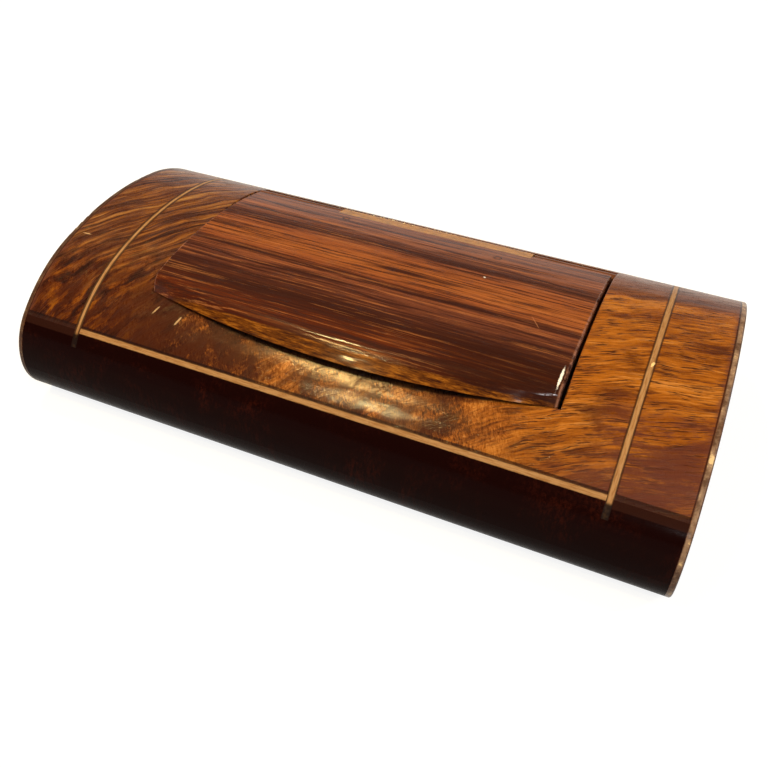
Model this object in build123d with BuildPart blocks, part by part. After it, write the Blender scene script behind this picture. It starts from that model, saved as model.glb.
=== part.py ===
from build123d import *
from math import acos, atan2, cos, hypot, radians, sin, sqrt
import os

os.makedirs("parts", exist_ok=True)

# A snuff box: a veneered, hump-backed wooden box with boxwood stringing, and a lid let into its top on a
# wooden hinge. X runs along the box, the lid opens at the front (-Y), the hinge is at the back (+Y), and the
# origin is at the middle of the underside. All sizes are in millimetres.

# Outside of the box
length = 100.0
depth = 54.0
height = 22.5
widest_height = 7.4  # where front and back bulge most, and the radius of the turn under the box
crown_radius = 53.6
crown_half_angle = 12.7
shoulder_angle = 41.9  # tilt of the surface where top meets front, under the front string
end_plate = 0.8
end_round = 0.3

# Layers of the box
veneer = 1.0
board = 3.0
foil = 0.3

# Stringing
string_width = 0.9
string_depth = 0.6
string_inset = 10.25  # from the end of the box to the middle of the string that crosses the top there
string_tail = 2.0  # how far such a string goes on down the front and the back, below the shoulder

# Well and the opening in the top
opening_half = 30.8
front_wall = 11.15  # from the widest point of the front to the well
opening_round = 0.15  # eased rim of the opening

# Lid: its curve is flatter than the top's, level with it at the back and proud of it at the front
lid_crown_y = -4.0
lid_rise = 0.6  # crown of the lid above the crown of the top
rebate = 2.0  # how far the lid goes down into the opening, below its lip
lip_reach = 3.75  # how far the lip bows out past the well's front, at mid length and at its ends
lip_end_reach = 0.1
lean_above = 1.1  # the lip's front leans back to a straight line that far above the lid's crown
lean_back = 2.0  # and that far behind the lip's ends
lip_round = 2.4  # rounding between the lid's top and the front of its lip
lid_round = 0.3  # eased arrises at the lid's ends

# Clearances
lid_gap_left = 0.15
lid_gap_right = 0.45
lid_gap_front = 0.25
lip_rest_gap = 0.05
knuckle_gap = 0.15
swing_gap = 0.35  # behind the hinge, where the lid's back edge swings past the rim
pin_running_gap = 0.05
pin_seat_gap = 0.01

# Hinge
hinge_inset = 11.2  # from the widest point of the back to the axis
pin_radius = 0.5
pin_end_gap = 0.4
lid_knuckle_radius = 1.6
body_knuckle_radius = 1.5
left_knuckle_length = 15.75
right_knuckle_length = 12.75
ledge_width = 1.3  # ledge in front of the body's knuckles
lid_edge_inset = 0.7  # from the axis forward to the lid's back edge, over the body's knuckles
leaf_length = 4.55
leaf_thickness = 1.4
peg_radius = 0.65
peg_insets = ((2.4, 2.6), (4.3, 1.4))  # left and right peg, from the leaf's end and from its front

# The section is a chain of arcs, each tangent to the next: crown, shoulder, side, turn under
half_depth = depth / 2
inner_half = length / 2 - end_plate
crown_tilt = radians(crown_half_angle)
shoulder_tilt = radians(shoulder_angle)
across = half_depth - crown_radius * sin(crown_tilt)
down = height - widest_height - crown_radius * (1 - cos(crown_tilt))
shoulder_across = sin(shoulder_tilt) - sin(crown_tilt)
shoulder_down = cos(crown_tilt) - cos(shoulder_tilt)
side_across = 1 - sin(shoulder_tilt)
side_down = cos(shoulder_tilt)
share = shoulder_across * side_down - side_across * shoulder_down
shoulder_radius = (across * side_down - side_across * down) / share
side_radius = (shoulder_across * down - shoulder_down * across) / share

crown_centre = (0.0, height - crown_radius)
shoulder_centre = (
    (crown_radius - shoulder_radius) * sin(crown_tilt),
    height - crown_radius + (crown_radius - shoulder_radius) * cos(crown_tilt),
)
side_centre = (half_depth - side_radius, widest_height)
under_centre = (half_depth - widest_height, widest_height)
base_half = under_centre[0]  # half depth of the flat underside
level = radians(90)


def on_arc(centre, radius, tilt, side=1):
    """Point where a surface tilted by that angle lies on an arc of the section, mirrored for the front."""
    return (side * (centre[0] + radius * sin(tilt)), centre[1] + radius * cos(tilt))


def top_height(y):
    """Height of the box's top at depth y, on the crown or the shoulder."""
    on_crown = abs(y) < crown_radius * sin(crown_tilt)
    centre = crown_centre if on_crown else shoulder_centre
    radius = crown_radius if on_crown else shoulder_radius
    return centre[1] + sqrt(radius**2 - (abs(y) - centre[0]) ** 2)


def section_outline(inset):
    """Outline of the box's section for a layer that lies that far below the surface."""
    ThreePointArc(
        on_arc(crown_centre, crown_radius - inset, crown_tilt, -1),
        (0, height - inset),
        on_arc(crown_centre, crown_radius - inset, crown_tilt),
    )
    arcs = [
        (shoulder_centre, shoulder_radius - inset, crown_tilt, shoulder_tilt),
        (side_centre, side_radius - inset, shoulder_tilt, level),
        (under_centre, widest_height - inset, level, 2 * level),
    ]
    for side in (-1, 1):
        for centre, radius, start, end in arcs:
            ThreePointArc(
                on_arc(centre, radius, start, side),
                on_arc(centre, radius, (start + end) / 2, side),
                on_arc(centre, radius, end, side),
            )
    Line((-base_half, inset), (base_half, inset))


# Whole section between the end plates, and the same section inside the veneer and under the stringing
with BuildPart() as outside:
    with BuildSketch(Plane.YZ):
        with BuildLine():
            section_outline(0)
        make_face()
    extrude(amount=inner_half, both=True)

with BuildPart() as core:
    with BuildSketch(Plane.YZ):
        with BuildLine():
            section_outline(veneer)
        make_face()
    extrude(amount=inner_half, both=True)

with BuildPart() as bottom_board:
    with BuildSketch():
        Rectangle(2 * inner_half, 2 * base_half)
    extrude(amount=board)

with BuildPart() as inlay_skin:
    add(outside.part)
    with BuildSketch(Plane.YZ):
        with BuildLine():
            section_outline(string_depth)
        make_face()
    extrude(amount=inner_half, both=True, mode=Mode.SUBTRACT)
    add(bottom_board.part, mode=Mode.SUBTRACT)

with BuildPart() as veneer_skin:
    add(outside.part)
    add(core.part, mode=Mode.SUBTRACT)
    add(bottom_board.part, mode=Mode.SUBTRACT)

# Places of the lid and the hinge
well_front = front_wall - half_depth
hinge_y = half_depth - hinge_inset
hinge_z = top_height(hinge_y) - lid_knuckle_radius
hinge_place = (hinge_y, hinge_z)
well_back = hinge_y - body_knuckle_radius - ledge_width
ledge = hinge_z - lid_knuckle_radius - knuckle_gap  # floor of the hinge's rebate
lip_under = top_height(well_front) + lip_rest_gap
lid_under = lip_under - rebate
lid_crown_z = height + lid_rise
lid_back_edge = hinge_y - lid_edge_inset
lid_fall = lid_crown_z - top_height(lid_back_edge)
lid_radius = ((lid_back_edge - lid_crown_y) ** 2 + lid_fall**2) / (2 * lid_fall)


def lid_height(y):
    """Height of the lid's top at depth y."""
    return lid_crown_z - lid_radius + sqrt(lid_radius**2 - (y - lid_crown_y) ** 2)


# Opening in the top: from the well's front to behind the hinge, where the lid's back edge swings
swing = hypot(hinge_y - lid_back_edge, lid_height(lid_back_edge) - hinge_z)
opening_back = hinge_y + swing + swing_gap

with BuildPart() as opening:
    with BuildSketch(Plane.XY.offset(board)):
        with Locations((0, (well_front + well_back) / 2)):
            Rectangle(2 * opening_half, well_back - well_front)
    extrude(amount=height)
    with BuildSketch(Plane.XY.offset(ledge)):
        with Locations((0, (well_front + opening_back) / 2)):
            Rectangle(2 * opening_half, opening_back - well_front)
    extrude(amount=height)

# Carcass: two rails along the box, two end blocks between them, all on the bottom board
with BuildPart() as front_rail:
    add(core.part)
    split(bisect_by=Plane.XZ.offset(-well_front), keep=Keep.TOP)
    add(bottom_board.part, mode=Mode.SUBTRACT)

with BuildPart() as back_rail:
    add(core.part)
    split(bisect_by=Plane.XZ.offset(-well_back), keep=Keep.BOTTOM)
    add(bottom_board.part, mode=Mode.SUBTRACT)
    add(opening.part, mode=Mode.SUBTRACT)

block_centre = (opening_half + inner_half) / 2
end_blocks = {}
for side, name in ((-1, "end_block_left"), (1, "end_block_right")):
    with BuildPart() as end_block:
        with BuildSketch(Plane.XY.offset(board)):
            with Locations((side * block_centre, (well_front + well_back) / 2)):
                Rectangle(inner_half - opening_half, well_back - well_front)
        extrude(amount=height)
        add(core.part, mode=Mode.INTERSECT)
    end_blocks[name] = end_block

# Stringing: two strings across the top and over its shoulders, and one along each shoulder between them
string_x = length / 2 - string_inset
string_bottom = on_arc(side_centre, side_radius, shoulder_tilt)[1] - string_tail
strings = {}
for side, name in ((-1, "string_left"), (1, "string_right")):
    with BuildPart() as string:
        with BuildSketch(Plane.YZ.offset(side * string_x)):
            with Locations((0, string_bottom + height)):
                Rectangle(2 * depth, 2 * height)
        extrude(amount=string_width / 2, both=True)
        add(inlay_skin.part, mode=Mode.INTERSECT)
    strings[name] = string

for side, name in ((-1, "string_front"), (1, "string_back")):
    shoulder_y, shoulder_z = on_arc(side_centre, side_radius, shoulder_tilt, side)
    outward = (0, side * sin(shoulder_tilt), cos(shoulder_tilt))
    shoulder = Plane(origin=(0, shoulder_y, shoulder_z), x_dir=(1, 0, 0), z_dir=outward)
    with BuildPart() as string:
        with BuildSketch(shoulder):
            Rectangle(2 * string_x - string_width, string_width)
        extrude(amount=2 * string_depth, both=True)
        add(inlay_skin.part, mode=Mode.INTERSECT)
    strings[name] = string

# Veneers: one sheet over the top, and one round the front and the back, jointed along the shoulders
core_shoulder = on_arc(side_centre, side_radius - veneer, shoulder_tilt)
past_shoulder = on_arc(side_centre, side_radius + height, shoulder_tilt)
with BuildPart() as top_zone:
    with BuildSketch(Plane.YZ):
        with BuildLine():
            Polyline(
                (-core_shoulder[0], core_shoulder[1]),
                core_shoulder,
                past_shoulder,
                (-past_shoulder[0], past_shoulder[1]),
                close=True,
            )
        make_face()
    extrude(amount=inner_half, both=True)

on_surface = 0.01  # an edge this near to the top's curve lies on it


def on_rim(edge):
    """Whether an edge lies on the box's top along the border of the opening."""
    middle = edge.center()
    inside = abs(middle.X) < opening_half + veneer and well_front - veneer < middle.Y < opening_back + veneer
    return inside and abs(middle.Z - top_height(middle.Y)) < on_surface


with BuildPart() as top_veneer:
    add(veneer_skin.part)
    add(top_zone.part, mode=Mode.INTERSECT)
    add(opening.part, mode=Mode.SUBTRACT)
    for string in strings.values():
        add(string.part, mode=Mode.SUBTRACT)
    fillet(top_veneer.edges().filter_by(on_rim), opening_round)

side_veneers = {}
for keep, name in ((Keep.TOP, "front_veneer"), (Keep.BOTTOM, "back_veneer")):
    with BuildPart() as side_veneer:
        add(veneer_skin.part)
        add(top_zone.part, mode=Mode.SUBTRACT)
        split(bisect_by=Plane.XZ, keep=keep)
        for string in strings.values():
            add(string.part, mode=Mode.SUBTRACT)
    side_veneers[name] = side_veneer

# End plates cover the whole section, ends of the veneers included
end_plates = {}
for side, name in ((-1, "end_plate_left"), (1, "end_plate_right")):
    with BuildPart() as plate:
        with BuildSketch(Plane.YZ.offset(side * inner_half)):
            with BuildLine():
                section_outline(0)
            make_face()
        extrude(amount=side * end_plate)
        outer_face = plate.faces().sort_by(Axis.X)[0 if side < 0 else -1]
        fillet(outer_face.edges().filter_by(lambda e: e.center().Z > end_round), end_round)
    end_plates[name] = plate

# Lining of the well: a foil tray, open at the top, as high as the hinge's ledge
with BuildPart() as foil_lining:
    with BuildSketch(Plane.XY.offset(board)):
        with Locations((0, (well_front + well_back) / 2)):
            Rectangle(2 * opening_half, well_back - well_front)
    extrude(amount=ledge - board)
    offset(amount=-foil, openings=foil_lining.faces().sort_by(Axis.Z)[-1])

# Hinge: the lid's knuckle stands between the body's two, and a pin runs through all three
lid_left = -opening_half + lid_gap_left
lid_right = opening_half - lid_gap_right
lid_knuckle_left = -opening_half + left_knuckle_length + knuckle_gap
lid_knuckle_right = opening_half - right_knuckle_length - knuckle_gap
body_knuckles = {}
for name, start, span in (
    ("hinge_knuckle_left", -opening_half, left_knuckle_length),
    ("hinge_knuckle_right", opening_half - right_knuckle_length, right_knuckle_length),
):
    with BuildPart() as knuckle:
        with BuildSketch(Plane.YZ.offset(start)):
            with Locations(hinge_place):
                Circle(body_knuckle_radius)
            with Locations((hinge_y, (ledge + hinge_z) / 2)):
                Rectangle(2 * body_knuckle_radius, hinge_z - ledge)
            with Locations(hinge_place):
                Circle(pin_radius + pin_seat_gap, mode=Mode.SUBTRACT)
        extrude(amount=span)
    body_knuckles[name] = knuckle

pin_half = opening_half - pin_end_gap
with BuildPart() as hinge_pin:
    with BuildSketch(Plane.YZ):
        with Locations(hinge_place):
            Circle(pin_radius)
    extrude(amount=pin_half, both=True)

# The lid's knuckle has a leaf that is let into the lid's underside and pegged there
knuckle_length = lid_knuckle_right - lid_knuckle_left
knuckle_middle = (lid_knuckle_left + lid_knuckle_right) / 2
leaf_back = hinge_y - lid_knuckle_radius - knuckle_gap
leaf_front = leaf_back - leaf_length
leaf_top = lid_under + leaf_thickness
peg_places = [
    (lid_knuckle_left + peg_insets[0][0], leaf_front + peg_insets[0][1]),
    (lid_knuckle_right - peg_insets[1][0], leaf_front + peg_insets[1][1]),
]
neck_y = leaf_back - hinge_y
neck_z = lid_height(leaf_back) - hinge_z
# the neck's top runs on from the lid's surface until it touches the knuckle's round
touch_tilt = atan2(neck_y, neck_z) + acos(lid_knuckle_radius / hypot(neck_y, neck_z))
with BuildPart() as lid_knuckle:
    with BuildSketch(Plane.YZ.offset(lid_knuckle_left)):
        with Locations(hinge_place):
            Circle(lid_knuckle_radius)
        with BuildLine():
            Polyline(
                (leaf_back, lid_under),
                (leaf_back, lid_height(leaf_back)),
                on_arc(hinge_place, lid_knuckle_radius, touch_tilt),
                hinge_place,
                (hinge_y, lid_under),
                close=True,
            )
        make_face()
        with Locations(((leaf_front + leaf_back) / 2, (lid_under + leaf_top) / 2)):
            Rectangle(leaf_length, leaf_thickness)
        with Locations(hinge_place):
            Circle(pin_radius + pin_running_gap, mode=Mode.SUBTRACT)
    extrude(amount=knuckle_length)
    with BuildSketch(Plane.XY.offset(lid_under)):
        with Locations(*peg_places):
            Circle(peg_radius)
    extrude(amount=leaf_thickness, mode=Mode.SUBTRACT)

# Lid: a board whose top is one arc, with a bowed lip in front that lies over the box's top
lid_length = lid_right - lid_left
lid_middle = (lid_left + lid_right) / 2
lid_front = well_front + lid_gap_front
lip_ends = well_front - lip_end_reach
straight_front = lip_ends + lean_back
lid_profile_front = well_front - 2 * lip_reach

with BuildPart() as lip_shape:
    with BuildSketch(Plane.XY.offset(lip_under)):
        with BuildLine():
            Polyline((lid_left, lip_ends), (lid_left, depth), (lid_right, depth), (lid_right, lip_ends))
            ThreePointArc(
                (lid_right, lip_ends),
                (lid_middle, well_front - lip_reach),
                (lid_left, lip_ends),
            )
        make_face()
    with BuildSketch(Plane.XY.offset(lid_crown_z + lean_above)):
        with BuildLine():
            Polyline(
                (lid_left, straight_front),
                (lid_left, depth),
                (lid_right, depth),
                (lid_right, straight_front),
                close=True,
            )
        make_face()
    loft(ruled=True)

with BuildPart() as lid_board:
    with BuildSketch(Plane.YZ.offset(lid_left)):
        with BuildLine():
            Polyline(
                (lid_profile_front, lid_height(lid_profile_front)),
                (lid_profile_front, lip_under),
                (lid_back_edge, lip_under),
                (lid_back_edge, lid_height(lid_back_edge)),
            )
            ThreePointArc(
                (lid_profile_front, lid_height(lid_profile_front)),
                (lid_crown_y, lid_crown_z),
                (lid_back_edge, lid_height(lid_back_edge)),
            )
        make_face()
    extrude(amount=lid_length)
    add(lip_shape.part, mode=Mode.INTERSECT)
    lid_top = lid_board.faces().filter_by(GeomType.CYLINDER).sort_by(Axis.Z)[-1]
    fillet(lid_top.edges().sort_by(Axis.Y)[0], lip_round)
    for end in (0, -1):
        end_face = lid_board.faces().filter_by(Axis.X).sort_by(Axis.X)[end]
        fillet(end_face.edges().filter_by(lambda e: e.center().Z > lip_under + lid_round), lid_round)
    with BuildSketch(Plane.XY.offset(lid_under)):
        with Locations((lid_middle, (lid_front + lid_back_edge) / 2)):
            Rectangle(lid_length, lid_back_edge - lid_front)
    extrude(amount=lip_under - lid_under)
    # room for the body's knuckles, the lid's own knuckle, its leaf and its pegs
    with BuildSketch(Plane.YZ.offset(-opening_half)):
        with Locations(hinge_place):
            Circle(body_knuckle_radius + knuckle_gap)
    extrude(amount=2 * opening_half, mode=Mode.SUBTRACT)
    with BuildSketch(Plane.XY.offset(lid_under)):
        with Locations((knuckle_middle, leaf_back + height / 2)):
            Rectangle(knuckle_length, height)
    extrude(amount=height, mode=Mode.SUBTRACT)
    with BuildSketch(Plane.XY.offset(lid_under)):
        with Locations((knuckle_middle, (leaf_front + leaf_back) / 2)):
            Rectangle(knuckle_length, leaf_length)
    extrude(amount=leaf_thickness, mode=Mode.SUBTRACT)
    with BuildSketch(Plane.XY.offset(lid_under)):
        with Locations(*peg_places):
            Circle(peg_radius)
    extrude(amount=height, mode=Mode.SUBTRACT)

with BuildPart() as lid_pegs:
    with BuildSketch(Plane.XY.offset(lid_under)):
        with Locations(*peg_places):
            Circle(peg_radius)
    extrude(amount=height)
    with BuildSketch(Plane.YZ.offset(-opening_half)):
        with Locations((lid_crown_y, lid_crown_z - lid_radius)):
            Circle(lid_radius)
    extrude(amount=2 * opening_half, mode=Mode.INTERSECT)

pieces = {
    "bottom_board": bottom_board,
    "front_rail": front_rail,
    "back_rail": back_rail,
    **end_blocks,
    "top_veneer": top_veneer,
    **side_veneers,
    **strings,
    **end_plates,
    "foil_lining": foil_lining,
    **body_knuckles,
    "hinge_pin": hinge_pin,
    "lid_board": lid_board,
    "lid_knuckle": lid_knuckle,
    "lid_pegs": lid_pegs,
}
for name, piece in pieces.items():
    piece.part.label = name
    export_step(piece.part, f"parts/{name}.step")
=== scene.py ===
"""Dresses the snuff box: finishes of its woods, stringing, hinge and lining, and the stage it stands on."""

from math import cos, radians, sin

import bpy
from bpy.props import FloatProperty, FloatVectorProperty, PointerProperty
from bpy.types import Operator, Panel, PropertyGroup
from mathutils import Matrix, Vector


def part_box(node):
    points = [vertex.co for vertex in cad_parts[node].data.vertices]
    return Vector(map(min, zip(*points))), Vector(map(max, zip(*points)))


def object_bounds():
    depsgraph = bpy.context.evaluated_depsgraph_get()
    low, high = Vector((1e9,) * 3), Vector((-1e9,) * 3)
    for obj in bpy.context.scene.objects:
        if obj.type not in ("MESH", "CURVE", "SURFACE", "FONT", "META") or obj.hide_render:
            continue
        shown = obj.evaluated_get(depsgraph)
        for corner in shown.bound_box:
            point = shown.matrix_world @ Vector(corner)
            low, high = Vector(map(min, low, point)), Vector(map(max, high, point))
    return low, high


bl_info = {
    "name": "Snuff Box",
    "version": (1, 0, 0),
    "blender": (4, 5, 0),
    "location": "3D View > Sidebar > Snuff Box",
    "description": "Dresses a veneered snuff box and sets its stage",
    "category": "Object",
}

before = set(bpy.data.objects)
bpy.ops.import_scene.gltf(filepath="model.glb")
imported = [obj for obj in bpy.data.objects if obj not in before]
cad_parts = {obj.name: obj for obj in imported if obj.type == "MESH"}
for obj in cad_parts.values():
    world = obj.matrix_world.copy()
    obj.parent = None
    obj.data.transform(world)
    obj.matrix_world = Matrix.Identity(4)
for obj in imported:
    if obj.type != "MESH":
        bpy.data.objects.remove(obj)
cad_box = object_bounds()

MM = 0.001
PER_MM = 1 / MM

# Places that finishes follow, in millimetres, read from the frame
END_FACE = cad_box[1].x * PER_MM
TOP_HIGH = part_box("top_veneer")[1] * PER_MM
HINGE_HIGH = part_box("hinge_knuckle_right")[1] * PER_MM
LID_LOW, LID_HIGH = (corner * PER_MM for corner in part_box("lid_board"))
LID_MIDDLE = (LID_LOW.x + LID_HIGH.x) / 2
LID_HALF = (LID_HIGH.x - LID_LOW.x) / 2
PEG_LOW, PEG_HIGH = (corner * PER_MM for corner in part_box("lid_pegs"))
STRING_LOW, STRING_HIGH = (corner * PER_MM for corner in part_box("string_right"))
STRING_X = (STRING_LOW.x + STRING_HIGH.x) / 2
STRING_HALF = (STRING_HIGH.x - STRING_LOW.x) / 2
SHOULDER_LOW, SHOULDER_HIGH = (corner * PER_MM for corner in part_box("string_front"))
SHOULDER_MIDDLE = (SHOULDER_LOW + SHOULDER_HIGH) / 2

# Measures in millimetres that the frame's boxes don't give
LID_CROWN = 46.0  # radius of the lid's top
LIP_SAG = 3.65  # how much farther the lip reaches at mid length than at its ends
PEG_RADIUS = 0.65

# Direction across the shoulder string, which lies aslant: its share inwards and its share upwards
SHOULDER_INWARD, SHOULDER_UPWARD = 0.667, 0.745


def tone(red, green, blue):
    """Linear colour of a tone given as it looks on a screen, from 0 to 255."""

    def linear(value):
        share = value / 255
        return share / 12.92 if share <= 0.04045 else ((share + 0.055) / 1.055) ** 2.4

    return (linear(red), linear(green), linear(blue))


def colour(name, description, default):
    """Colour property with that default tone."""
    return FloatVectorProperty(
        name=name, description=description, subtype="COLOR", size=3, min=0, max=1, default=tone(*default)
    )


def amount(name, description, default, highest=1.0):
    """Plain number property from 0 up."""
    return FloatProperty(name=name, description=description, default=default, min=0, max=highest)


def measure(name, description, default):
    """Length property, stored in metres."""
    return FloatProperty(name=name, description=description, default=default, unit="LENGTH", precision=5)


def angle(name, description, degrees):
    """Angle property with a default in degrees, stored in radians."""
    return FloatProperty(name=name, description=description, default=radians(degrees), unit="ROTATION")


class VeneerSettings(PropertyGroup):
    """Walnut veneers of the top, front and back"""

    honey: colour("Honey", "Palest figure, on the right of the top", (152, 90, 22))
    amber: colour("Amber", "Figure of the middle and the left of the top", (124, 74, 28))
    umber: colour("Umber", "Dark stripes and the mottle along the front of the top", (64, 26, 6))
    pore: colour("Pore", "Open pores, filled with old polish", (46, 18, 6))
    rim: colour("Rim", "Worn purple-brown wood round the edges of the top", (94, 54, 42))
    shoulder: colour("Shoulder", "Dark wood of the shoulder outside the strings", (44, 22, 17))
    side: colour("Side", "Front and back veneer, nearly black", (20, 4, 3))
    side_fleck: colour("Side fleck", "Reddish flecks in the front and back veneer", (50, 16, 8))
    stripe: measure("Stripe", "Distance from one dark stripe of the figure to the next", 1.1 * MM)
    slope: amount("Slope", "Rise of the figure's lines at mid length", 0.766)
    bend: amount("Bend", "How much the figure turns from the right end to the left", 0.0059)


class LidSettings(PropertyGroup):
    """Rosewood of the lid"""

    flame: colour("Flame", "Palest, orange streaks", (146, 84, 42))
    heart: colour("Heart", "Ground between the streaks", (120, 68, 44))
    streak: colour("Streak", "Dark streaks along the lid", (52, 26, 20))
    sapwood: colour("Sapwood", "Golden band below the ridge of the lip", (94, 50, 8))
    # Edge is partly rubbed wood and partly a painted highlight along the lid's end arrises
    edge: colour("Edge", "Rubbed arris at the lid's ends", (168, 118, 96))


class TrimSettings(PropertyGroup):
    """Stringing, end plates and glue lines"""

    boxwood: colour("Boxwood", "Stringing", (162, 126, 88))
    glue: colour("Glue line", "Dark line at each side of a string", (48, 22, 10))
    end: colour("End plate", "Face of the end plates", (82, 50, 34))
    # End edge is partly rubbed wood and partly a painted highlight along the arris
    end_edge: colour("End arris", "Rubbed edge of the end plates", (150, 126, 108))


class HingeSettings(PropertyGroup):
    """Wooden hinge and its pin"""

    gold: colour("Gold", "Middle knuckle, which belongs to the lid", (172, 120, 46))
    brown: colour("Brown", "Outer knuckles, which belong to the box", (104, 62, 38))
    brass: colour("Brass", "Hinge pin", (196, 160, 92))


class WellSettings(PropertyGroup):
    """Inside of the box"""

    carcass: colour("Carcass", "Walnut of rails, end blocks and bottom board", (112, 74, 46))
    tin: colour("Foil", "Dull foil of the lining", (150, 148, 144))


class StageSettings(PropertyGroup):
    """Floor, lamps and camera"""

    floor: colour("Floor", "Pale floor", (132, 132, 131))
    floor_glow: amount("Floor glow", "How much the floor is whitened in the picture", 0.86, 2)
    wall_radius: measure("Wall radius", "Distance of the round wall behind the floor", 1.5)
    wall_height: measure("Wall height", "Height of the round wall", 0.35)
    key: amount("Warm lamps", "Watts of which the three warm lamps take their shares", 1.9, 10)
    window: amount("Windows", "Watts of which the two white lamps take their shares", 0.9, 10)
    overhead: amount("Overhead", "Power of the wide lamp above, in watts", 2.3, 10)
    ambient: amount("Ambient", "Level of the room's even light", 0.17, 2)
    camera_place: FloatVectorProperty(
        name="Camera place", description="Where the camera stands", subtype="TRANSLATION", unit="LENGTH",
        size=3, precision=5, default=(0.041214, -0.095776, 0.094933),
    )
    azimuth: angle("Azimuth", "Turn of the camera", 23.493)
    elevation: angle("Elevation", "How far down the camera looks", 42.504)
    roll: angle("Roll", "Tilt of the picture", 0.366)
    lens: FloatProperty(name="Lens", description="Focal length in millimetres", default=40.02)


class Finish:
    """One material, whose nodes are added from the surface's place to its colour, gloss and relief."""

    def __init__(self, name):
        self.material = bpy.data.materials.new(name)
        self.material.use_nodes = True
        self.tree = self.material.node_tree
        self.tree.nodes.clear()
        self.shader = self.tree.nodes.new("ShaderNodeBsdfPrincipled")
        output = self.tree.nodes.new("ShaderNodeOutputMaterial")
        self.tree.links.new(self.shader.outputs["BSDF"], output.inputs["Surface"])
        place = self.tree.nodes.new("ShaderNodeTexCoord").outputs["Object"]
        self.place = self.scaled(place, (PER_MM, PER_MM, PER_MM))
        self.x, self.y, self.z = self.split(self.place)

    def feed(self, socket, value):
        """Gives a socket a number, a colour or the output of another node."""
        if isinstance(value, bpy.types.NodeSocket):
            self.tree.links.new(value, socket)
        elif socket.type == "RGBA":
            socket.default_value = (*value[:3], 1)
        else:
            socket.default_value = value

    def math(self, operation, *values):
        """Result of an operation on numbers and outputs."""
        node = self.tree.nodes.new("ShaderNodeMath")
        node.operation = operation
        for socket, value in zip(node.inputs, values):
            self.feed(socket, value)
        return node.outputs[0]

    def times(self, first, *others):
        """Product of any number of values."""
        product = first
        for value in others:
            product = self.math("MULTIPLY", product, value)
        return product

    def square(self, value):
        """Value times itself."""
        return self.times(value, value)

    def absolute(self, value):
        """Value without its sign."""
        return self.math("ABSOLUTE", value)

    def weighed(self, values):
        """The same values, with the product in place of each (value, factor) pair."""
        return [self.times(*value) if isinstance(value, tuple) else value for value in values]

    def add(self, *values):
        """Sum of values and of (value, factor) pairs."""
        total, *others = self.weighed(values)
        for value in others:
            total = self.math("ADD", total, value)
        return total

    def scaled(self, vector, factors):
        """Vector with each part multiplied by its factor."""
        node = self.tree.nodes.new("ShaderNodeVectorMath")
        node.operation = "MULTIPLY"
        self.feed(node.inputs[0], vector)
        node.inputs[1].default_value = factors
        return node.outputs[0]

    def split(self, vector):
        """The three parts of a vector."""
        node = self.tree.nodes.new("ShaderNodeSeparateXYZ")
        self.feed(node.inputs[0], vector)
        return node.outputs[0], node.outputs[1], node.outputs[2]

    def noise(self, vector, scale=1.0, detail=4.0, roughness=0.55, distortion=0.0):
        """Cloudy value, about 0.5 on average."""
        node = self.tree.nodes.new("ShaderNodeTexNoise")
        self.feed(node.inputs["Vector"], vector)
        node.inputs["Scale"].default_value = scale
        node.inputs["Detail"].default_value = detail
        node.inputs["Roughness"].default_value = roughness
        node.inputs["Distortion"].default_value = distortion
        return node.outputs["Fac"]

    def grain(self, *values, **texture):
        """Noise over three values or (value, factor) pairs, drawn out where a factor is small."""
        node = self.tree.nodes.new("ShaderNodeCombineXYZ")
        for socket, value in zip(node.inputs, self.weighed(values)):
            self.feed(socket, value)
        return self.noise(node.outputs[0], **texture)

    def step(self, value, start, end, low=0.0, high=1.0):
        """Smooth change from low to high as a value goes from start to end."""
        node = self.tree.nodes.new("ShaderNodeMapRange")
        node.interpolation_type = "SMOOTHSTEP"
        self.feed(node.inputs["Value"], value)
        node.inputs["From Min"].default_value = start
        node.inputs["From Max"].default_value = end
        node.inputs["To Min"].default_value = low
        node.inputs["To Max"].default_value = high
        return node.outputs["Result"]

    def ramp(self, value, stops):
        """Colour that a value picks from a row of (place, colour) stops."""
        node = self.tree.nodes.new("ShaderNodeValToRGB")
        self.feed(node.inputs[0], value)
        row = node.color_ramp.elements
        while len(row) < len(stops):
            row.new(0.5)
        for element, (place, shade) in zip(row, stops):
            element.position = place
            element.color = (*shade[:3], 1)
        return node.outputs["Color"]

    def mix(self, share, first, second):
        """Mix of two colours, with that share of the second."""
        node = self.tree.nodes.new("ShaderNodeMix")
        node.data_type = "RGBA"
        self.feed(node.inputs["Factor"], share)
        self.feed(node.inputs[6], first)
        self.feed(node.inputs[7], second)
        return node.outputs[2]

    def relief(self, *layers):
        """Bumps, each given as (height value, depth in millimetres)."""
        normal = None
        for height, depth in layers:
            node = self.tree.nodes.new("ShaderNodeBump")
            node.inputs["Strength"].default_value = 1.0
            node.inputs["Distance"].default_value = depth * MM
            self.feed(node.inputs["Height"], height)
            if normal is not None:
                self.feed(node.inputs["Normal"], normal)
            normal = node.outputs["Normal"]
        self.feed(self.shader.inputs["Normal"], normal)
        self.feed(self.shader.inputs["Coat Normal"], normal)

    def polish(self, shade, roughness, level, coat=0.0, coat_roughness=0.12, metal=0.0):
        """Sets colour and gloss, and returns the material."""
        self.feed(self.shader.inputs["Base Color"], shade)
        self.feed(self.shader.inputs["Roughness"], roughness)
        self.shader.inputs["Specular IOR Level"].default_value = level
        self.shader.inputs["Coat Weight"].default_value = coat
        self.shader.inputs["Coat Roughness"].default_value = coat_roughness
        self.shader.inputs["Coat IOR"].default_value = 1.6
        self.shader.inputs["Metallic"].default_value = metal
        return self.material


def dress(names, material):
    """Puts a material in the slots of these CAD nodes."""
    for name in names:
        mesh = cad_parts[name].data
        mesh.materials.clear()
        mesh.materials.append(material)


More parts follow.
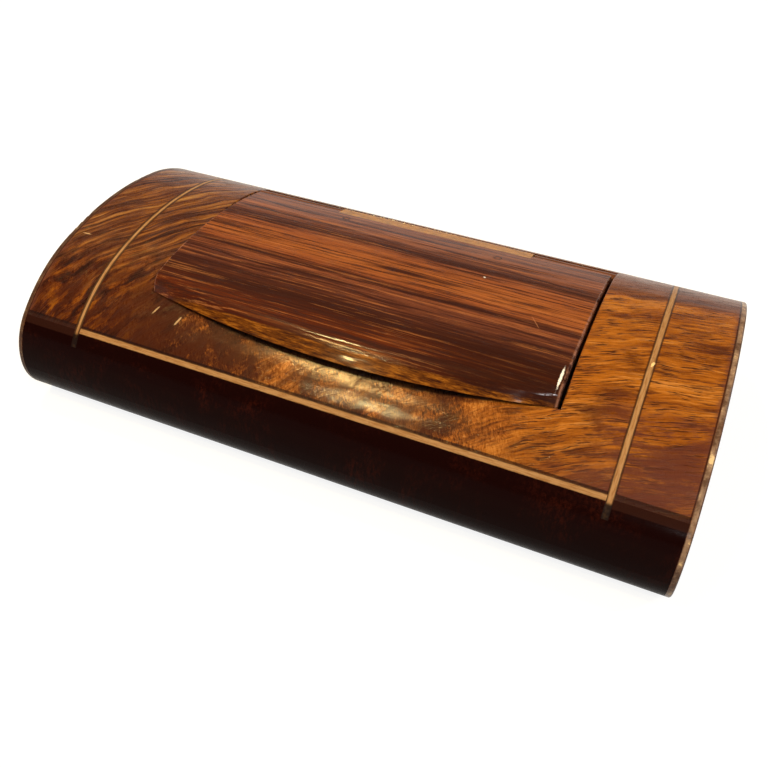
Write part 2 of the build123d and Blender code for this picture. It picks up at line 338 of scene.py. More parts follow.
def pores(finish, along, across, length, width, share):
    """Short dark dashes along the grain, in loose crowds: 1 where a pore is open."""
    dashes = finish.grain((along, 1 / length), (across, 1 / width), 0, detail=2.0, roughness=0.6)
    crowd = finish.grain((along, 0.22), (across, 0.6), 9.0, detail=2.0)
    depth = finish.add(dashes, (crowd, 0.4), -0.2)
    return finish.step(depth, 1 - share, 1.07 - share)


def mark(finish, place, turn, length, width):
    """Small mark seen from above, a scratch, a chip or a painted highlight: 1 inside it, with a ragged
    outline.
    """
    right = finish.add(finish.x, -place[0])
    back = finish.add(finish.y, -place[1])
    lengthwise = finish.add((right, cos(turn)), (back, sin(turn)))
    sidewise = finish.add((right, -sin(turn)), (back, cos(turn)))
    ragged = finish.noise(finish.place, scale=4.0, roughness=0.75)
    reach = finish.add(
        finish.square(finish.times(lengthwise, 2 / length)),
        finish.square(finish.times(sidewise, 2 / width)),
        (ragged, 2.0),
    )
    return finish.step(reach, 2.0, 1.2)


# Chips and scratches in the top: place in millimetres, angle in degrees, length, width
TOP_MARKS = (
    ((-28.7, -18.4), 62, 1.6, 0.3),
    ((-24.6, -19.0), 66, 1.7, 0.36),
    ((-47.2, -9.4), 4, 1.8, 0.32),
    ((-31.1, -7.8), 81, 3.4, 0.4),
)

# The same for the lid: a bright speck, and a painted highlight, a white streak along its right arris
LID_SPECK_AND_GLINT = (
    ((13.9, 3.5), 0, 0.5, 0.42),
    ((29.7, -12.9), 90, 4.3, 0.46),
)

# A fine scratch in the lid
LID_SCRATCHES = (((23.7, -4.2), -53, 3.2, 0.18),)

# A painted highlight: a golden glint on the right string
STRING_GLINTS = (((39.9, -5.4), 75, 1.2, 0.5),)


def marked(finish, shade, marks, share, pale):
    """Colour with the marks of a list in it: chips, scratches and painted highlights."""
    for place, degrees, length, width in marks:
        chip = mark(finish, place, radians(degrees), length, width)
        shade = finish.mix(finish.times(chip, share), shade, pale)
    return shade


def top_veneer_finish(settings):
    """Figured walnut: stripes on the left, mottle along the front, honey with dark pores on the right."""
    finish = Finish("figured walnut veneer")
    x, y, z = finish.x, finish.y, finish.z
    across_x = finish.absolute(x)

    # the figure's lines bend: they rise gently on the right end and steeply on the left
    bent = finish.times(finish.square(x), settings.bend)
    turn = finish.math("SUBTRACT", finish.times(x, settings.slope), bent)
    drift = finish.grain((x, 0.06), (y, 0.09), 0, detail=2.0)
    level = finish.add(y, (turn, -1), (drift, finish.step(x, -15.0, 15.0, 6.0, 3.0)))
    along = finish.add(x, (y, 0.7))
    quiver = finish.grain((along, 0.25), (level, 0.8), 2.0, detail=3.0)
    level = finish.add(level, (quiver, finish.step(x, -10.0, 15.0, 0.9, 0.4)))
    line = finish.times(level, MM / settings.stripe)
    slant = finish.add(x, (y, 0.45))

    # patterns, where a bare last number moves one to another part of the noise
    bands = finish.grain((along, 0.045), line, 0, detail=3.0, roughness=0.6)
    wide = finish.grain((along, 0.05), (line, 0.25), 5.0, detail=3.0)
    clump = finish.grain((along, 0.24), (level, 0.42), 1.0, detail=5.0, roughness=0.62, distortion=0.4)
    fine = finish.grain((along, 0.2), (level, 3.6), 0, roughness=0.7)
    cloud = finish.grain((x, 0.2), (y, 0.22), 3.0, detail=5.0, roughness=0.62, distortion=0.6)
    fibres = finish.grain((slant, 3.2), (y, 1.7), 0, detail=5.0, roughness=0.75, distortion=0.6)
    smoky = finish.grain((along, 0.1), (level, 0.42), 7.0, detail=5.0, roughness=0.66)

    striped = finish.ramp(
        finish.add((bands, 2.2), wide, (fine, 1.5), -1.92),
        [
            (0.06, tone(46, 23, 13)),
            (0.34, tone(84, 48, 28)),
            (0.60, settings.amber),
            (0.95, tone(158, 115, 62)),
        ],
    )
    tangled = finish.ramp(
        finish.add((clump, 3.6), fine, (fibres, 0.8), -2.3),
        [
            (0.08, tone(34, 12, 4)),
            (0.36, settings.umber),
            (0.60, tone(102, 50, 6)),
            (0.92, tone(128, 74, 14)),
        ],
    )
    honeyed = finish.ramp(
        finish.add(bands, (wide, 1.3), (fine, 1.7), -1.5),
        [
            (0.06, tone(72, 32, 8)),
            (0.32, tone(122, 66, 14)),
            (0.58, settings.honey),
            (0.92, tone(180, 120, 56)),
        ],
    )
    # along the front the mottle grows paler from the left to the middle
    paler = finish.add(finish.step(x, -32.0, -6.0, -1.76, -1.3), finish.step(x, 20.0, 28.0, 0.0, 0.24))
    mottled = finish.ramp(
        finish.add((cloud, 2.0), (fibres, 1.6), paler),
        [
            (0.10, tone(44, 16, 5)),
            (0.36, settings.umber),
            (0.60, tone(140, 78, 22)),
            (0.92, tone(190, 126, 56)),
        ],
    )
    leftness = finish.step(finish.add(x, (cloud, 8.0)), 14.0, -14.0)
    lower = finish.step(finish.add(y, (x, -0.1), (clump, 10.0)), 3.0, -8.0)
    shade = finish.mix(lower, striped, tangled)
    shade = finish.mix(leftness, honeyed, shade)
    right_end = finish.step(finish.add(x, (y, 0.5), (clump, 16.0)), 30.0, 14.0)
    left_end = finish.step(finish.add(x, (clump, 12.0)), -32.0, -18.0)
    frontness = finish.step(finish.add(y, (cloud, 9.0)), -6.0, -13.0)
    frontness = finish.times(frontness, right_end, left_end)
    shade = finish.mix(frontness, shade, mottled)
    open_pores = pores(finish, along, level, 3.6, 0.2, 0.45)
    pore_share = finish.step(finish.add(x, (frontness, -30.0)), 0.0, 30.0, 0.3, 0.9)
    shade = finish.mix(finish.times(open_pores, pore_share), shade, settings.pore)

    # smoky wisps, fewer in a clear part on the right and more along the front
    clear = finish.times(finish.step(x, 18.0, 24.0, 0.0, -0.12), finish.step(x, 36.0, 30.0))
    smoke = finish.add(smoky, clear, finish.step(y, -8.0, -22.0, 0.0, 0.1))
    shade = finish.mix(finish.step(smoke, 0.49, 0.66, 0.0, 0.75), shade, settings.umber)

    # the back right and the wood beside the hinge are stained brown
    back_rim = finish.step(finish.add(y, (x, -0.16), (clump, 2.4)), 4.2, 5.4)
    back_band = finish.times(back_rim, finish.step(x, 26.0, 31.0, 0.0, 0.75))
    hinge_rim = finish.times(
        finish.step(y, HINGE_HIGH.y - 1.5, HINGE_HIGH.y - 0.5),
        finish.step(across_x, HINGE_HIGH.x + 2.2, HINGE_HIGH.x + 0.2),
        finish.step(finish.add(y, clump), HINGE_HIGH.y + 2.6, HINGE_HIGH.y + 1.4, 0.0, 0.85),
    )
    back_band = finish.times(back_band, finish.step(fine, 0.35, 0.6, 0.45, 1.0))
    brown = finish.math("MAXIMUM", back_band, hinge_rim)
    shade = finish.mix(brown, shade, tone(74, 40, 22))

    # the edges at the ends, at the front right and beside the lid are worn to a purple brown
    end_rim = finish.step(finish.add(across_x, (clump, 2.4)), END_FACE - 0.5, END_FACE + 0.6)
    front_rim = finish.step(finish.add(y, (x, -0.2), (clump, 7.0)), -22.5, -27.5)
    front_rim = finish.times(front_rim, finish.step(x, 26.0, 37.0, 0.0, 0.8))
    beside_lid = finish.add(finish.absolute(finish.add(x, -LID_HIGH.x)), (clump, 0.8))
    behind_lip = finish.step(y, LID_LOW.y + 2.6, LID_LOW.y + 4.2)
    mouth_rim = finish.times(finish.step(beside_lid, 1.1, 0.7), behind_lip, 0.8)
    worn = finish.math("MAXIMUM", finish.math("MAXIMUM", end_rim, front_rim), mouth_rim)
    shade = finish.mix(finish.times(worn, finish.step(fine, 0.35, 0.6, 0.6, 0.92)), shade, settings.rim)

    # plum-coloured clouds lie over the front right quarter
    quarter = finish.times(finish.step(x, 33.0, 40.0), finish.step(y, -9.0, -15.0))
    plum = finish.step(finish.add(smoky, (fine, 0.9), -0.45), 0.41, 0.52, 0.0, 0.72)
    shade = finish.mix(finish.times(quarter, plum), shade, tone(86, 44, 34))

    # dark joints run along the end plates and beside each string
    seam = finish.step(across_x, TOP_HIGH.x - 0.24, TOP_HIGH.x - 0.12)
    shade = finish.mix(finish.times(seam, 0.85), shade, tone(42, 18, 12))
    beyond = finish.add(across_x, -STRING_X)
    glue = finish.step(finish.absolute(beyond), STRING_HALF + 0.2, STRING_HALF + 0.02)
    shade = finish.mix(finish.times(glue, 0.75), shade, tone(36, 16, 8))

    # outside the strings the shoulder is finished in dark wood, with a fine joint above it
    outside = finish.step(beyond, STRING_HALF, STRING_HALF + 0.05)
    shoulder = finish.step(z, SHOULDER_HIGH.z + 0.08, SHOULDER_HIGH.z - 0.04)
    shade = finish.mix(finish.times(outside, shoulder, 0.9), shade, settings.shoulder)
    joint = finish.step(finish.absolute(finish.add(z, -SHOULDER_HIGH.z - 0.1)), 0.16, 0.06)
    shade = finish.mix(finish.times(joint, 0.8), shade, tone(24, 9, 5))

    # painted shadow: the veneer just under the lip's overhang is darkened where the lip shades it
    lip_line = finish.add((finish.square(x), LIP_SAG / LID_HIGH.x**2), LID_LOW.y)
    ahead = finish.add(y, (lip_line, -1), (clump, 0.5))
    darkened = finish.times(
        finish.step(ahead, 0.3, 0.7),
        finish.step(across_x, LID_HIGH.x + 0.3, LID_HIGH.x),
        finish.step(y, 0.0, -2.0),
    )
    shade = finish.mix(finish.times(darkened, 0.92), shade, tone(18, 6, 3))
    shade = marked(finish, shade, TOP_MARKS, 0.7, tone(200, 168, 124))

    roughness = finish.add(finish.step(fibres, 0.3, 0.75, 0.24, 0.4), (open_pores, 0.2))
    finish.relief(
        (finish.grain((x, 0.12), (y, 0.5), 0, detail=1.0), 0.05),
        (finish.times(fibres, finish.step(frontness, 0.0, 1.0, 0.3, 1.0)), 0.008),
        (finish.times(open_pores, -1), 0.015),
    )
    return finish.polish(shade, roughness, level=0.05, coat=0.2, coat_roughness=0.1)


def side_veneer_finish(settings):
    """Front and back veneer: nearly black under old polish, with faint reddish flecks and upright fibres."""
    finish = Finish("dark side veneer")
    x, y, z = finish.x, finish.y, finish.z
    cloud = finish.grain((x, 0.13), (y, 0.2), (z, 0.1), detail=5.0, roughness=0.6, distortion=0.6)
    fleck = finish.grain((x, 2.2), (y, 2.2), (z, 0.5), roughness=0.7, distortion=0.4)
    share = finish.times(finish.step(cloud, 0.45, 0.75), finish.step(fleck, 0.4, 0.7))
    shade = finish.mix(share, settings.side, settings.side_fleck)
    # outside the strings the shoulder is finished in dark wood, a little paler than the veneer
    outside = finish.step(finish.absolute(x), STRING_HIGH.x, STRING_HIGH.x + 0.05)
    shoulder = finish.step(z, SHOULDER_LOW.z - 0.12, SHOULDER_LOW.z + 0.04)
    shade = finish.mix(finish.times(outside, shoulder, 0.8), shade, settings.shoulder)
    finish.relief((finish.noise(finish.place, scale=0.3, detail=2.0), 0.04), (fleck, 0.006))
    roughness = finish.step(fleck, 0.3, 0.7, 0.22, 0.36)
    return finish.polish(shade, roughness, level=0.01, coat=0.03, coat_roughness=0.14)


def lid_finish(settings):
    """Streaked rosewood with a band of golden sapwood below the ridge of its lip."""
    finish = Finish("streaked rosewood")
    x, y, z = finish.x, finish.y, finish.z
    wander = finish.grain((x, 0.035), (y, 0.12), 0, detail=3.0)
    level = finish.add(y, (wander, 3.2), -1.6)
    # the main streaks lie at these depths of the lid, from its front to its back
    front, back = -18.0, 16.0
    figure = finish.ramp(
        finish.math("DIVIDE", finish.add(level, -front), back - front),
        [
            (0.00, tone(64, 24, 9)),
            (0.09, tone(84, 36, 14)),
            (0.17, tone(48, 22, 14)),
            (0.24, tone(76, 40, 28)),
            (0.33, tone(100, 56, 40)),
            (0.375, settings.heart),
            (0.395, settings.streak),
            (0.43, tone(128, 70, 40)),
            (0.50, settings.flame),
            (0.60, tone(136, 76, 42)),
            (0.65, settings.heart),
            (0.68, settings.streak),
            (0.73, tone(100, 58, 42)),
            (0.80, tone(138, 84, 58)),
            (0.86, tone(102, 60, 42)),
            (1.00, tone(134, 82, 56)),
        ],
    )
    streaks = finish.grain((x, 0.03), (level, 0.85), 0, roughness=0.6)
    lines = finish.grain((x, 0.055), (y, 2.4), (z, 2.4), detail=5.0, roughness=0.72)
    fine = finish.grain((x, 0.18), (y, 6.0), (z, 6.0), detail=3.0, roughness=0.7)
    shade = finish.mix(finish.step(streaks, 0.5, 0.64, 0.0, 0.9), figure, settings.streak)
    shade = finish.mix(finish.step(streaks, 0.45, 0.3, 0.0, 0.3), shade, settings.flame)
    shade = finish.mix(finish.step(lines, 0.5, 0.6, 0.0, 0.85), shade, settings.streak)
    shade = finish.mix(finish.step(lines, 0.46, 0.36, 0.0, 0.45), shade, tone(172, 110, 64))
    shade = finish.mix(finish.step(fine, 0.52, 0.62, 0.0, 0.5), shade, tone(46, 22, 16))
    open_pores = pores(finish, x, finish.add(y, z), 2.2, 0.12, 0.36)
    shade = finish.mix(finish.times(open_pores, 0.55), shade, tone(34, 15, 10))

    # the front right of the board is darker heartwood
    dark_end = finish.times(finish.step(y, -7.0, -15.0), finish.step(x, 4.0, 22.0, 0.0, 0.75))
    shade = finish.mix(dark_end, shade, tone(42, 17, 8))

    # the sapwood's upper edge is ragged and bows down towards the ends
    ragged = finish.grain((x, 0.12), 0, (z, 3.0), detail=5.0, roughness=0.7)
    band_top = finish.add(LID_HIGH.z - 1.75, (finish.square(x), -0.0011), ragged, -0.5)
    sapwood = finish.times(
        finish.step(finish.math("SUBTRACT", band_top, z), -0.14, 0.2),
        finish.step(y, LID_LOW.y + 6.2, LID_LOW.y + 5.2),
        finish.step(finish.add(x, (ragged, 5.0)), LID_LOW.x + 5.0, LID_LOW.x + 11.0),
    )
    cloud = finish.grain((x, 0.3), (y, 2.4), (z, 2.4), detail=5.0, roughness=0.7)
    gold = finish.ramp(cloud, [(0.38, tone(44, 16, 3)), (0.52, settings.sapwood), (0.66, tone(146, 90, 22))])
    shade = finish.mix(sapwood, shade, gold)

    # the arrises are rubbed pale, which is partly a painted highlight along them; they and the marks, one of
    # which is a painted highlight, are only in the upper face of the board
    crown = finish.add(z, (finish.square(y), 0.5 / LID_CROWN))
    on_top = finish.step(crown, LID_HIGH.z - 0.8, LID_HIGH.z - 0.5)
    arris = finish.step(finish.absolute(finish.add(x, -LID_MIDDLE)), LID_HALF - 0.4, LID_HALF - 0.1)
    rubs_and_sheen = finish.step(finish.noise(finish.place, scale=0.8, roughness=0.7), 0.42, 0.6)
    shade = finish.mix(finish.times(arris, on_top, rubs_and_sheen, 0.7), shade, settings.edge)
    upper = finish.step(crown, LID_HIGH.z - 1.3, LID_HIGH.z - 1.0)
    # the speck, and the painted white highlight along the right arris
    shade = marked(finish, shade, LID_SPECK_AND_GLINT, finish.times(upper, 0.95), tone(238, 238, 240))
    shade = marked(finish, shade, LID_SCRATCHES, finish.times(upper, 0.5), tone(166, 112, 78))

    finish.relief(
        (finish.grain((x, 0.1), (y, 0.4), (z, 0.4), detail=2.0), 0.08),
        (finish.times(lines, finish.step(sapwood, 0.0, 1.0, 1.0, 0.15)), 0.007),
        (finish.times(open_pores, -1), 0.02),
    )
    roughness = finish.add(finish.step(fine, 0.3, 0.7, 0.2, 0.32), (sapwood, 0.18))
    return finish.polish(shade, roughness, level=0.03, coat=0.14, coat_roughness=0.09)


def string_finish(settings, side_string):
    """Boxwood stringing, with a dark glue line at its sides."""
    finish = Finish("boxwood string" if side_string else "boxwood shoulder string")
    x, y, z = finish.x, finish.y, finish.z
    if side_string:
        off_middle = finish.add(finish.absolute(x), -STRING_X)
        streaks = finish.grain((x, 5.0), (y, 0.5), (z, 0.5), roughness=0.65)
        narrow = finish.step(x, -40.0, 40.0, 0.2, 0.08)
    else:
        middle = SHOULDER_UPWARD * SHOULDER_MIDDLE.z - SHOULDER_INWARD * abs(SHOULDER_MIDDLE.y)
        inward = (finish.absolute(y), -SHOULDER_INWARD)
        off_middle = finish.add((z, SHOULDER_UPWARD), inward, -middle)
        streaks = finish.grain((x, 0.5), (y, 5.0), (z, 5.0), roughness=0.65)
        narrow = 0.04
    dust = finish.noise(finish.place, scale=1.6, roughness=0.7)
    shade = finish.mix(finish.step(streaks, 0.38, 0.68), settings.boxwood, tone(138, 98, 58))
    shade = finish.mix(finish.step(dust, 0.55, 0.8, 0.0, 0.6), shade, tone(104, 70, 42))
    wobble = finish.noise(finish.place, scale=0.6, detail=3.0)
    from_edge = finish.add(finish.absolute(off_middle), (wobble, 0.12), narrow, -STRING_HALF)
    edge = finish.step(from_edge, -0.05, 0.07)
    shade = finish.mix(finish.times(edge, 0.9), shade, settings.glue)
    if side_string:
        # the ends of the side strings are dark from the level of the shoulder down
        low_end = finish.step(z, SHOULDER_LOW.z + 0.55, SHOULDER_LOW.z + 0.15)
        darkened = finish.times(low_end, finish.step(dust, 0.3, 0.6, 0.93, 1.0))
        shade = finish.mix(darkened, shade, tone(20, 7, 4))
        # a painted golden highlight on the right string
        shade = marked(finish, shade, STRING_GLINTS, 0.9, tone(236, 204, 150))
    finish.relief((streaks, 0.01), (dust, 0.02))
    return finish.polish(shade, finish.step(dust, 0.4, 0.7, 0.34, 0.5), level=0.1)


def end_finish(settings):
    """End plates: cross-grained veneer whose arris is rubbed pale and painted with a highlight."""
    finish = Finish("end plate veneer")
    x, y, z = finish.x, finish.y, finish.z
    streaks = finish.grain((x, 1.5), (y, 0.12), (z, 1.4), detail=5.0, roughness=0.62, distortion=0.4)
    fine = finish.grain((x, 4.0), (y, 0.6), (z, 6.0), detail=3.0)
    shade = finish.ramp(
        finish.add(streaks, (fine, 0.3), -0.15),
        [(0.3, tone(40, 20, 12)), (0.52, settings.end), (0.76, tone(126, 82, 52))],
    )
    # the arris, rubbed and painted with a pale highlight, is the edge of the plate, from its joint to just
    # short of its outer face
    across_x = finish.absolute(x)
    arris = finish.times(
        finish.step(across_x, END_FACE - 0.07, END_FACE - 0.25),
        finish.step(across_x, TOP_HIGH.x, TOP_HIGH.x + 0.15),
    )
    patches = finish.noise(finish.place, scale=0.5, roughness=0.65)
    arris_wear_and_highlight = finish.mix(finish.step(patches, 0.4, 0.65), settings.end_edge, tone(84, 62, 50))
    # painted highlight: pale patches along the arris
    arris_wear_and_highlight = finish.mix(finish.step(patches, 0.42, 0.34), arris_wear_and_highlight, tone(224, 198, 156))
    # painted shade: the left plate's arris, which faces away from the light, is darkened
    arris_wear_and_highlight = finish.mix(finish.step(x, 0.0, -1.0, 0.0, 0.8), arris_wear_and_highlight, tone(56, 36, 27))
    shade = finish.mix(finish.times(arris, 0.85), shade, arris_wear_and_highlight)
    finish.relief((fine, 0.006), (finish.noise(finish.place, scale=0.4, detail=2.0), 0.05))
    roughness = finish.step(fine, 0.3, 0.7, 0.26, 0.42)
    return finish.polish(shade, roughness, level=0.08, coat=0.12, coat_roughness=0.14)


def plain_wood_finish(name, shade, contrast, roughness, stretch):
    """Straight-grained wood for the carcass and the knuckles."""
    finish = Finish(name)
    streaks = finish.noise(finish.scaled(finish.place, stretch), detail=5.0, roughness=0.65)
    fine = finish.noise(finish.scaled(finish.place, tuple(4 * part for part in stretch)), detail=3.0)
    dark = tuple(part * contrast for part in shade)
    shade = finish.mix(finish.step(streaks, 0.35, 0.7), shade, dark)
    shade = finish.mix(finish.step(fine, 0.5, 0.8, 0.0, 0.5), shade, dark)
    finish.relief((fine, 0.015))
    return finish.polish(shade, finish.step(fine, 0.3, 0.7, roughness, roughness + 0.16), level=0.15)


def peg_finish():
    """End grain of the two pegs, each with a dark line of glue round it."""
    finish = Finish("peg wood")
    middle = (PEG_LOW.x + PEG_HIGH.x) / 2
    spread = (PEG_HIGH.x - PEG_LOW.x) / 2 - PEG_RADIUS
    off_x = finish.add(finish.absolute(finish.add(finish.x, -middle)), -spread)
    # the left peg stands a little farther back than the right one
    left_y, right_y = PEG_HIGH.y - PEG_RADIUS, PEG_LOW.y + PEG_RADIUS
    axis_y = finish.step(finish.x, middle - 1.0, middle + 1.0, left_y, right_y)
    off_y = finish.math("SUBTRACT", finish.y, axis_y)
    off_axis = finish.math("SQRT", finish.add(finish.square(off_x), finish.square(off_y)))
    rings = finish.grain((off_axis, 4.0), 0, 0, detail=3.0)
    shade = finish.mix(finish.step(rings, 0.35, 0.65), tone(126, 76, 48), tone(92, 52, 34))
    shade = finish.mix(finish.step(off_axis, PEG_RADIUS - 0.2, PEG_RADIUS - 0.1), shade, tone(24, 10, 6))
    finish.relief((rings, 0.01))
    return finish.polish(shade, finish.step(rings, 0.3, 0.7, 0.3, 0.45), level=0.1)


def metal_finish(name, shade, dull, roughness, dent_depth):
    """Dulled metal with stains and fine dents."""
    finish = Finish(name)
    stains = finish.noise(finish.place, scale=0.45, detail=5.0, roughness=0.6)
    dents = finish.noise(finish.place, scale=0.9, detail=3.0, roughness=0.5, distortion=0.4)
    shade = finish.mix(finish.step(stains, 0.4, 0.7), shade, dull)
    finish.relief((dents, dent_depth))
    dulled = finish.step(stains, 0.3, 0.7, roughness, roughness + 0.2)
    return finish.polish(shade, dulled, level=0.5, metal=1.0)


class SNUFFBOX_OT_carcass(Operator):
    """Finish the rails, end blocks and bottom board"""

    bl_idname = "snuffbox.carcass"
    bl_label = "Carcass"

    def execute(self, context):
        shade = context.scene.snuffbox_well.carcass
        along = plain_wood_finish("carcass walnut", shade, 0.5, 0.5, (0.06, 1.4, 1.4))
        dress(["front_rail", "back_rail", "bottom_board"], along)
        across = plain_wood_finish("end block walnut", shade, 0.5, 0.5, (1.4, 0.06, 1.4))
        dress(["end_block_left", "end_block_right"], across)
        return {"FINISHED"}


class SNUFFBOX_OT_veneers(Operator):
    """Finish the veneers of the top, front and back"""

    bl_idname = "snuffbox.veneers"
    bl_label = "Veneers"

    def execute(self, context):
        settings = context.scene.snuffbox_veneer
        dress(["top_veneer"], top_veneer_finish(settings))
        dress(["front_veneer", "back_veneer"], side_veneer_finish(settings))
        return {"FINISHED"}


class SNUFFBOX_OT_stringing(Operator):
    """Finish the four boxwood strings"""

    bl_idname = "snuffbox.stringing"
    bl_label = "Stringing"

    def execute(self, context):
        settings = context.scene.snuffbox_trim
        dress(["string_left", "string_right"], string_finish(settings, True))
        dress(["string_front", "string_back"], string_finish(settings, False))
        return {"FINISHED"}


class SNUFFBOX_OT_end_plates(Operator):
    """Finish the two end plates"""

    bl_idname = "snuffbox.end_plates"
    bl_label = "End Plates"

    def execute(self, context):
        dress(["end_plate_left", "end_plate_right"], end_finish(context.scene.snuffbox_trim))
        return {"FINISHED"}


class SNUFFBOX_OT_lining(Operator):
    """Finish the foil lining of the well"""

    bl_idname = "snuffbox.lining"
    bl_label = "Lining"

    def execute(self, context):
        shade = context.scene.snuffbox_well.tin
        dress(["foil_lining"], metal_finish("dull foil", shade, tone(128, 125, 120), 0.38, 0.1))
        return {"FINISHED"}


class SNUFFBOX_OT_hinge(Operator):
    """Finish the knuckles, the pin and the pegs"""

    bl_idname = "snuffbox.hinge"
    bl_label = "Hinge"

    def execute(self, context):
        settings = context.scene.snuffbox_hinge
        gold = plain_wood_finish("golden knuckle wood", settings.gold, 0.4, 0.24, (0.7, 3.0, 3.0))
        dress(["lid_knuckle"], gold)
        brown = plain_wood_finish("brown knuckle wood", settings.brown, 0.5, 0.3, (0.12, 2.0, 2.0))
        dress(["hinge_knuckle_left", "hinge_knuckle_right"], brown)
        dress(["lid_pegs"], peg_finish())
        dress(["hinge_pin"], metal_finish("hinge brass", settings.brass, tone(120, 88, 44), 0.3, 0.01))
        return {"FINISHED"}


class SNUFFBOX_OT_lid(Operator):
    """Finish the lid's board"""

    bl_idname = "snuffbox.lid"
    bl_label = "Lid"

    def execute(self, context):
        dress(["lid_board"], lid_finish(context.scene.snuffbox_lid))
        return {"FINISHED"}


# Colours of the lamps
GOLDEN = (1, 0.61, 0.2)
WARM = (1, 0.79, 0.34)
CREAM = (1, 0.94, 0.82)
WHITE = (1, 1, 1)

# Lamps: name, setting of the power and share of it, target, direction, distance, size, colour
LAMPS = (
    ("key lamp", "key", 0.95, (0.003, -0.019, 0.018), (-0.335, -0.305, 0.89), 0.6, (0.1, 0.028), GOLDEN),
    ("low lamp", "key", 0.35, (0.006, -0.022, 0.017), (-0.308, -0.482, 0.82), 0.6, (0.035, 0.01), WARM),
    ("lid lamp", "key", 0.9, (0, -0.015, 0.021), (-0.357, 0.14, 0.924), 0.6, (0.045, 0.035), WARM),
    ("window", "window", 1.0, (0.03, -0.01, 0.02), (0.733, 0.161, 0.661), 0.7, (0.03, 0.03), WHITE),
    ("front window", "window", 0.4, (0.045, -0.023, 0.015), (0.14, -0.85, 0.53), 0.7, (0.012, 0.008), WHITE),
    ("overhead", "overhead", 1.0, (0, 0, 0.02), (0.5, -0.4, 0.77), 0.7, (0.4, 0.4), CREAM),
)


def lamp(name, power, target, direction, distance, size, shade):
    """Rectangular area lamp at a distance from a target, which it faces."""
    aim = Vector(direction).normalized()
    light = bpy.data.lights.new(name, "AREA")
    light.energy = power
    light.color = shade
    light.shape = "RECTANGLE"
    light.size, light.size_y = size
    lamp_object = bpy.data.objects.new(name, light)
    lamp_object.location = Vector(target) + aim * distance
    lamp_object.rotation_euler = aim.to_track_quat("Z", "Y").to_euler()
    bpy.context.scene.collection.objects.link(lamp_object)


def seen_directly(tree):
    """Output that is 1 for rays of the camera, of reflections and of glass, and 0 for light on surfaces."""
    path = tree.nodes.new("ShaderNodeLightPath")
    share = path.outputs["Is Camera Ray"]
    for name in ("Is Glossy Ray", "Is Transmission Ray"):
        either = tree.nodes.new("ShaderNodeMath")
        either.operation = "MAXIMUM"
        tree.links.new(share, either.inputs[0])
        tree.links.new(path.outputs[name], either.inputs[1])
        share = either.outputs[0]
    return share


def floor_finish(shade, glow_level):
    """Pale floor that shows as white in the picture and in reflections, and keeps the box's shadow."""
    material = bpy.data.materials.new("pale floor")
    material.use_nodes = True
    tree = material.node_tree
    tree.nodes.clear()
    diffuse = tree.nodes.new("ShaderNodeBsdfDiffuse")
    diffuse.inputs["Color"].default_value = (*shade, 1)
    glow = tree.nodes.new("ShaderNodeEmission")
    strength = tree.nodes.new("ShaderNodeMath")
    strength.operation = "MULTIPLY"
    strength.inputs[1].default_value = glow_level
    tree.links.new(seen_directly(tree), strength.inputs[0])
    tree.links.new(strength.outputs[0], glow.inputs["Strength"])
    both = tree.nodes.new("ShaderNodeAddShader")
    tree.links.new(diffuse.outputs[0], both.inputs[0])
    tree.links.new(glow.outputs[0], both.inputs[1])
    output = tree.nodes.new("ShaderNodeOutputMaterial")
    tree.links.new(both.outputs[0], output.inputs["Surface"])
    return material


def light_room(ambient):
    """World that lights the box evenly from all round."""
    world = bpy.data.worlds.new("room")
    bpy.context.scene.world = world
    world.use_nodes = True
    background = world.node_tree.nodes["Background"]
    background.inputs["Color"].default_value = (1, 1, 1, 1)
    background.inputs["Strength"].default_value = ambient


def set_camera(settings):
    """Sets the camera at its place, and turns, tilts and leans it as the settings say."""
    camera = bpy.data.cameras.new("camera")
    camera.lens = settings.lens
    camera.sensor_width = 36
    camera.clip_start = 0.005
    camera_object = bpy.data.objects.new("camera", camera)
    place = Matrix.Translation(settings.camera_place)
    turn = Matrix.Rotation(settings.azimuth, 4, "Z")
    tilt = Matrix.Rotation(radians(90) - settings.elevation, 4, "X")
    lean = Matrix.Rotation(settings.roll, 4, "Z")
    camera_object.matrix_world = place @ turn @ tilt @ lean
    bpy.context.scene.collection.objects.link(camera_object)
    bpy.context.scene.camera = camera_object


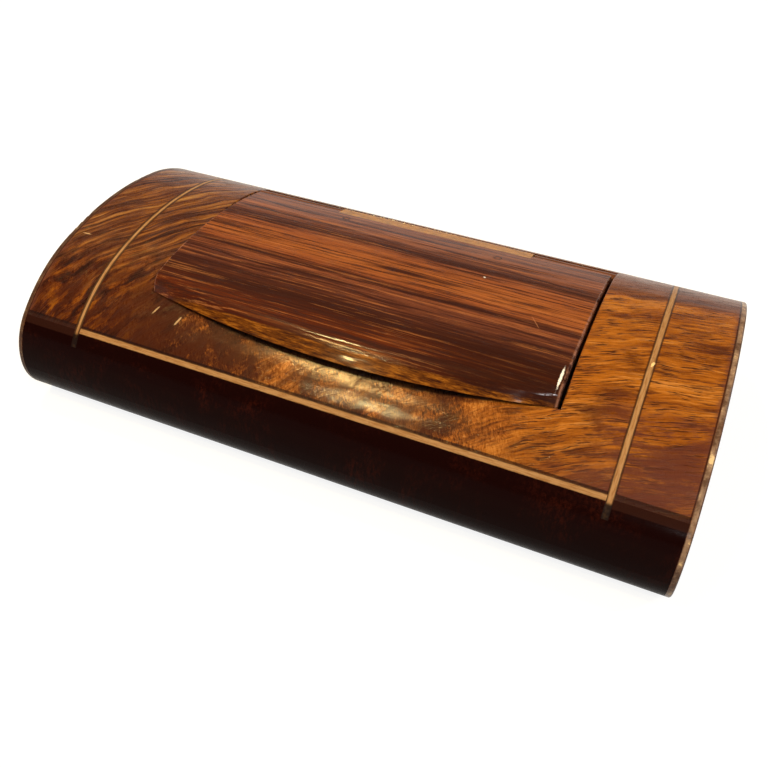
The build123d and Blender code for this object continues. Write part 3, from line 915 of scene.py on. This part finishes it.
class SNUFFBOX_OT_stage(Operator):
    """Set the floor, the lamps, the room and the camera"""

    bl_idname = "snuffbox.stage"
    bl_label = "Stage"

    def execute(self, context):
        settings = context.scene.snuffbox_stage
        bpy.ops.object.select_all(action="DESELECT")
        bpy.ops.mesh.primitive_plane_add(size=6.0, location=(0, 0, 0))
        floor = context.active_object
        floor.name = "floor"
        # a low round wall stands far off, so that views from the side have a pale background too
        bpy.ops.mesh.primitive_cylinder_add(
            vertices=96, radius=settings.wall_radius, depth=settings.wall_height, end_fill_type="NOTHING",
            location=(0, 0, settings.wall_height / 2),
        )
        wall = context.active_object
        wall.name = "wall"
        pale = floor_finish(settings.floor, settings.floor_glow)
        for obj in (floor, wall):
            obj.data.materials.append(pale)
        for name, setting, share, *rest in LAMPS:
            lamp(name, getattr(settings, setting) * share, *rest)
        light_room(settings.ambient)
        set_camera(settings)
        context.scene.view_settings.view_transform = "Standard"
        return {"FINISHED"}


STEPS = (
    SNUFFBOX_OT_carcass,
    SNUFFBOX_OT_veneers,
    SNUFFBOX_OT_stringing,
    SNUFFBOX_OT_end_plates,
    SNUFFBOX_OT_lining,
    SNUFFBOX_OT_hinge,
    SNUFFBOX_OT_lid,
    SNUFFBOX_OT_stage,
)

SETTINGS = {
    "snuffbox_veneer": VeneerSettings,
    "snuffbox_lid": LidSettings,
    "snuffbox_trim": TrimSettings,
    "snuffbox_hinge": HingeSettings,
    "snuffbox_well": WellSettings,
    "snuffbox_stage": StageSettings,
}


class SNUFFBOX_PT_panel(Panel):
    """Lists the steps and their settings"""

    bl_label = "Snuff Box"
    bl_idname = "SNUFFBOX_PT_panel"
    bl_space_type = "VIEW_3D"
    bl_region_type = "UI"
    bl_category = "Snuff Box"

    def draw(self, context):
        for step in STEPS:
            self.layout.operator(step.bl_idname)
        for name in SETTINGS:
            box = self.layout.box()
            group = getattr(context.scene, name)
            for key in group.__annotations__:
                box.prop(group, key)


def register():
    """Adds the settings, the operators and the panel."""
    for group in SETTINGS.values():
        bpy.utils.register_class(group)
    for name, group in SETTINGS.items():
        setattr(bpy.types.Scene, name, PointerProperty(type=group))
    for step in (*STEPS, SNUFFBOX_PT_panel):
        bpy.utils.register_class(step)


def unregister():
    """Takes the panel, the operators and the settings away again."""
    for step in (SNUFFBOX_PT_panel, *reversed(STEPS)):
        bpy.utils.unregister_class(step)
    for name, group in SETTINGS.items():
        delattr(bpy.types.Scene, name)
        bpy.utils.unregister_class(group)


def main():
    """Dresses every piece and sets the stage."""
    register()
    bpy.ops.snuffbox.carcass()
    bpy.ops.snuffbox.veneers()
    bpy.ops.snuffbox.stringing()
    bpy.ops.snuffbox.end_plates()
    bpy.ops.snuffbox.lining()
    bpy.ops.snuffbox.hinge()
    bpy.ops.snuffbox.lid()
    bpy.ops.snuffbox.stage()


if __name__ == "__main__":
    main()
